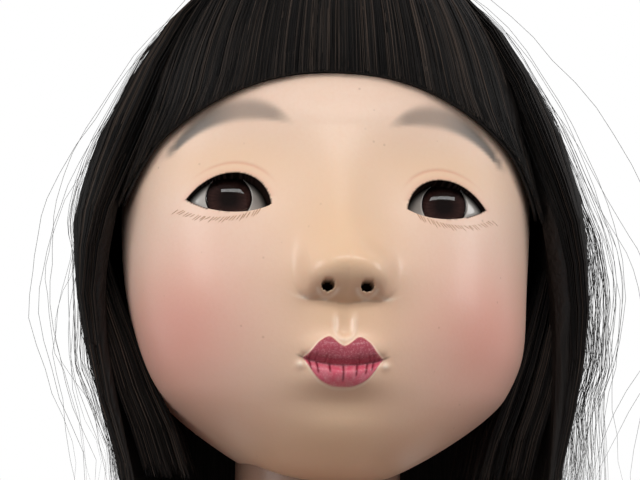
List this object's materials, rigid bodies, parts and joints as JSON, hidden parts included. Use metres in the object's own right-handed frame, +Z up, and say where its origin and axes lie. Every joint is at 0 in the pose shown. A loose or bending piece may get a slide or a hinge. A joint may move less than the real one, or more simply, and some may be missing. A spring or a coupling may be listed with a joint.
{
  "type": "ichimatsu doll",
  "caption": "Standing Japanese play doll with a turning head, glass eyes, a black bobbed wig, swinging stuffed arms and a wrapped kimono tied with a sash.",
  "frame": {"origin": "on the floor, under the middle of the doll's overall box", "axes": "+Z up, the doll faces -Y, its left hand is on +X"},
  "size_m": [0.2572, 0.1144, 0.508],
  "materials": {
    "gofun": "ground-shell lacquer over sawdust paste, flesh-tinted, semi-gloss",
    "bare_wood": "plain paulownia wood, unfinished",
    "stuffed_cloth": "cotton tube packed with wood wool, matt",
    "wig_cap": "black cloth cap, matt",
    "hair": "straight black silk or human hair, soft sheen",
    "eye_white_glass": "white glass, polished",
    "iris_glass": "dark brown glass with a black pupil",
    "clear_glass": "clear glass, polished",
    "putty": "hardened putty, matt",
    "kimono_silk": "crimson crepe silk with a small woven pattern",
    "lining_silk": "pale gold lining silk",
    "white_cotton": "white cotton, matt",
    "obi_brocade": "gold brocade, low sheen",
    "obi_cord": "green braided silk cord",
    "scarf_silk": "soft pink dyed silk",
    "sandal": "red covered sole",
    "sandal_strap": "padded cloth strap"
  },
  "bodies": {
    "body": {"chest_block": "bare_wood", "midriff_pad": "stuffed_cloth", "hip_block": "bare_wood", "left_lower_leg": "gofun", "left_tabi": "white_cotton", "left_thigh": "stuffed_cloth", "right_lower_leg": "gofun", "right_tabi": "white_cotton", "right_thigh": "stuffed_cloth", "left_sandal_sole": "sandal", "left_sandal_strap": "sandal_strap", "right_sandal_sole": "sandal", "right_sandal_strap": "sandal_strap", "kimono_bodice": "kimono_silk", "under_collar": "white_cotton", "kimono_collar": "kimono_silk", "kimono_skirt": "kimono_silk", "kimono_hem_roll": "lining_silk", "obi": "obi_brocade", "obi_cord": "obi_cord", "obi_scarf": "scarf_silk", "obi_bow_left": "obi_brocade", "obi_bow_right": "obi_brocade", "obi_knot": "obi_brocade", "obi_tail": "obi_brocade"},
    "head": {"face_shell": "gofun", "skull_shell": "gofun", "left_eye_white": "eye_white_glass", "right_eye_white": "eye_white_glass", "left_iris": "iris_glass", "right_iris": "iris_glass", "left_cornea": "clear_glass", "right_cornea": "clear_glass", "left_eye_putty": "putty", "right_eye_putty": "putty", "neck": "gofun", "neck_peg": "bare_wood", "wig_cap": "wig_cap", "hair_crown": "hair", "hair_fringe": "hair", "hair_left": "hair", "hair_right": "hair", "hair_back": "hair"},
    "left_arm": {"left_upper_arm": "stuffed_cloth", "left_forearm": "gofun", "left_sleeve": "kimono_silk"},
    "right_arm": {"right_upper_arm": "stuffed_cloth", "right_forearm": "gofun", "right_sleeve": "kimono_silk"}
  },
  "joints": [
    {"name": "neck_turn", "type": "hinge", "parent": "body", "child": "head", "pos_m": [0, -0.00079, 0.365], "axis": [0, 0, 1], "range_deg": [-45, 45]},
    {"name": "left_shoulder_swing", "type": "hinge", "parent": "body", "child": "left_arm", "pos_m": [0.0573, -0.00479, 0.346], "axis": [-1, 0, 0], "range_deg": [-25, 80]},
    {"name": "right_shoulder_swing", "type": "hinge", "parent": "body", "child": "right_arm", "pos_m": [-0.0573, -0.00479, 0.346], "axis": [-1, 0, 0], "range_deg": [-25, 80]}
  ]
}
